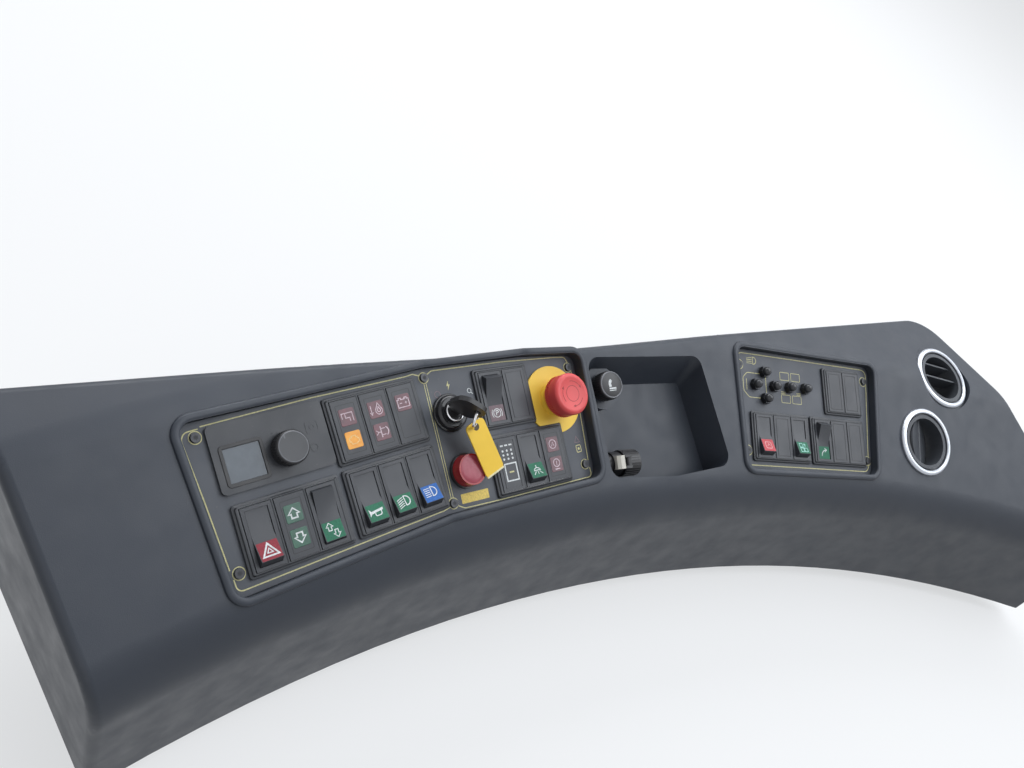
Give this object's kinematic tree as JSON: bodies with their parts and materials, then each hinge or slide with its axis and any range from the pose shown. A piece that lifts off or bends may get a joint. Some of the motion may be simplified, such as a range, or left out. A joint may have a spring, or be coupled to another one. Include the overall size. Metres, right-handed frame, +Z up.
{
  "type": "vehicle cab dashboard console",
  "caption": "Curved cab dashboard console with tilted switch panels, rockers, lamps, heater knob, ignition key, emergency stop, tray with lighter and socket, and round air outlets.",
  "frame": {"origin": "centre of the rectangle of wall bolts, on the flat rear face", "axes": "+X to the driver's right along the wall, +Y away from the driver into the wall, +Z up"},
  "size_m": [1.1601, 0.3429, 0.212],
  "materials": {
    "amber_lens": "gloss, tinted",
    "frame_black": "satin",
    "switch_black": "satin",
    "boot_rubber": "matte",
    "nut_steel": "plated",
    "socket_pale": "satin",
    "shell_charcoal": "fine-grained, matte",
    "vent_black": "satin",
    "ring_silver": "satin silver",
    "green_lens": "gloss, tinted",
    "display_dark": "gloss",
    "knob_black": "satin",
    "heater_black": "satin",
    "key_black": "satin",
    "lock_black": "satin",
    "tag_yellow": "gloss",
    "lamp_red": "gloss, tinted",
    "panel_graphite": "fine-grained, satin",
    "sleeve_steel": "plated",
    "screw_steel": "black plated",
    "socket_black": "satin",
    "red_lens": "gloss, tinted",
    "stop_collar": "satin",
    "stop_red": "semi-gloss",
    "stop_yellow": "satin",
    "rail_steel": "satin"
  },
  "bodies": {
    "console": {"amber_lens": "amber_lens", "blank_frame": "frame_black", "blank_modules": "switch_black", "brake_frame": "frame_black", "button_boots": "boot_rubber", "button_nuts": "nut_steel", "cap_bracket": "socket_pale", "console_shell": "shell_charcoal", "crane_lamp_frame": "frame_black", "front_vent_housing": "vent_black", "front_vent_ring": "ring_silver", "green_lenses": "green_lens", "heater_display": "display_dark", "heater_plate": "heater_black", "hydraulics_frame": "frame_black", "ignition_lock": "lock_black", "lamp_bezel": "lock_black", "lamp_lens": "lamp_red", "lamp_modules": "switch_black", "left_panel": "panel_graphite", "lighter_sleeve": "sleeve_steel", "lighting_frame": "frame_black", "panel_screws": "screw_steel", "power_socket": "socket_black", "rear_vent_housing": "vent_black", "rear_vent_ring": "ring_silver", "red_lenses": "red_lens", "right_panel": "panel_graphite", "stop_body": "stop_collar", "stop_plate": "stop_yellow", "switch_sockets": "switch_black", "turn_signal_frame": "frame_black", "wall_rail": "rail_steel", "warning_lamp_frame": "frame_black", "work_mode_frame": "frame_black"},
    "hazard_rocker": {"hazard_rocker": "switch_black"},
    "direction_rocker": {"direction_rocker": "switch_black"},
    "horn_rocker": {"horn_rocker": "switch_black"},
    "headlamp_rocker": {"headlamp_rocker": "switch_black"},
    "main_beam_rocker": {"main_beam_rocker": "switch_black"},
    "brake_rocker": {"brake_rocker": "switch_black"},
    "work_lamp_rocker": {"work_lamp_rocker": "switch_black"},
    "release_rocker": {"release_rocker": "switch_black"},
    "crane_rocker": {"crane_rocker": "switch_black"},
    "boom_lamp_rocker": {"boom_lamp_rocker": "switch_black"},
    "heater_knob": {"heater_knob": "knob_black"},
    "ignition_key": {"ignition_key": "key_black"},
    "key_tag": {"key_tag": "tag_yellow"},
    "stop_button": {"stop_button": "stop_red"},
    "lighter_knob": {"lighter_knob": "knob_black"},
    "socket_cap": {"socket_cap": "knob_black"},
    "rear_vent_barrel": {"rear_vent_barrel": "vent_black"},
    "front_vent_barrel": {"front_vent_barrel": "vent_black"}
  },
  "joints": [
    {"name": "hazard_rock", "type": "hinge", "parent": "console", "child": "hazard_rocker", "pos_m": [-0.35119, -0.10757, 0.0327], "axis": [0.9896, 0.1424, 0.0193], "range_deg": [0, 20.16]},
    {"name": "direction_rock", "type": "hinge", "parent": "console", "child": "direction_rocker", "pos_m": [-0.30329, -0.10068, 0.03364], "axis": [0.9896, 0.1424, 0.0193], "range_deg": [-10.08, 10.08]},
    {"name": "horn_rock", "type": "hinge", "parent": "console", "child": "horn_rocker", "pos_m": [-0.2686, -0.09531, 0.03449], "axis": [0.9896, 0.1424, 0.0193], "range_deg": [0, 20.16], "stiffness_Nm_per_rad": 0.02},
    {"name": "headlamp_rock", "type": "hinge", "parent": "console", "child": "headlamp_rocker", "pos_m": [-0.24465, -0.09186, 0.03495], "axis": [0.9896, 0.1424, 0.0193], "range_deg": [0, 20.16]},
    {"name": "main_beam_rock", "type": "hinge", "parent": "console", "child": "main_beam_rocker", "pos_m": [-0.2207, -0.08842, 0.03542], "axis": [0.9896, 0.1424, 0.0193], "range_deg": [0, 20.16]},
    {"name": "brake_rock", "type": "hinge", "parent": "console", "child": "brake_rocker", "pos_m": [-0.14331, -0.03421, 0.05646], "axis": [0.9981, 0.0581, -0.0193], "range_deg": [-20.16, 0]},
    {"name": "work_lamp_rock", "type": "hinge", "parent": "console", "child": "work_lamp_rocker", "pos_m": [-0.11595, -0.08345, 0.03288], "axis": [0.9981, 0.0581, -0.0193], "range_deg": [0, 20.16]},
    {"name": "release_rock", "type": "hinge", "parent": "console", "child": "release_rocker", "pos_m": [0.16966, -0.10123, 0.03367], "axis": [0.9775, -0.2108, 0], "range_deg": [0, 20.16]},
    {"name": "crane_rock", "type": "hinge", "parent": "console", "child": "crane_rocker", "pos_m": [0.21697, -0.11144, 0.03367], "axis": [0.9775, -0.2108, 0], "range_deg": [0, 20.16]},
    {"name": "boom_lamp_rock", "type": "hinge", "parent": "console", "child": "boom_lamp_rocker", "pos_m": [0.2503, -0.11862, 0.03367], "axis": [0.9775, -0.2108, 0], "range_deg": [-20.16, 0]},
    {"name": "heater_knob_turn", "type": "hinge", "parent": "console", "child": "heater_knob", "pos_m": [-0.32507, -0.05697, 0.05786], "axis": [0.0416, -0.4126, 0.91], "range_deg": [-135, 135]},
    {"name": "ignition_turn", "type": "hinge", "parent": "console", "child": "ignition_key", "pos_m": [-0.18671, -0.0435, 0.05764], "axis": [0.0416, -0.4126, 0.91], "range_deg": [-60, 0]},
    {"name": "key_tag_swing", "type": "hinge", "parent": "ignition_key", "child": "key_tag", "pos_m": [-0.17957, -0.06015, 0.08493], "axis": [-0.5552, -0.7668, -0.3223], "range_deg": [0, 75]},
    {"name": "stop_press", "type": "slide", "parent": "console", "child": "stop_button", "axis": [0.0416, -0.4126, 0.91], "range_m": [-0.004, 0]},
    {"name": "lighter_pull", "type": "slide", "parent": "console", "child": "lighter_knob", "axis": [-0.0311, -0.4135, 0.91], "range_m": [0, 0.028]},
    {"name": "socket_cap_flip", "type": "hinge", "parent": "console", "child": "socket_cap", "pos_m": [-0.01217, -0.10143, 0.0327], "axis": [-0.0682, -0.9074, -0.4147], "range_deg": [0, 110]},
    {"name": "rear_vent_turn", "type": "hinge", "parent": "console", "child": "rear_vent_barrel", "pos_m": [0.46868, -0.08688, 0.07514], "axis": [-0.073, -0.2038, 0.9763], "continuous": true},
    {"name": "front_vent_turn", "type": "hinge", "parent": "console", "child": "front_vent_barrel", "pos_m": [0.40349, -0.15043, 0.04772], "axis": [-0.1299, -0.3938, 0.91], "continuous": true}
  ]
}
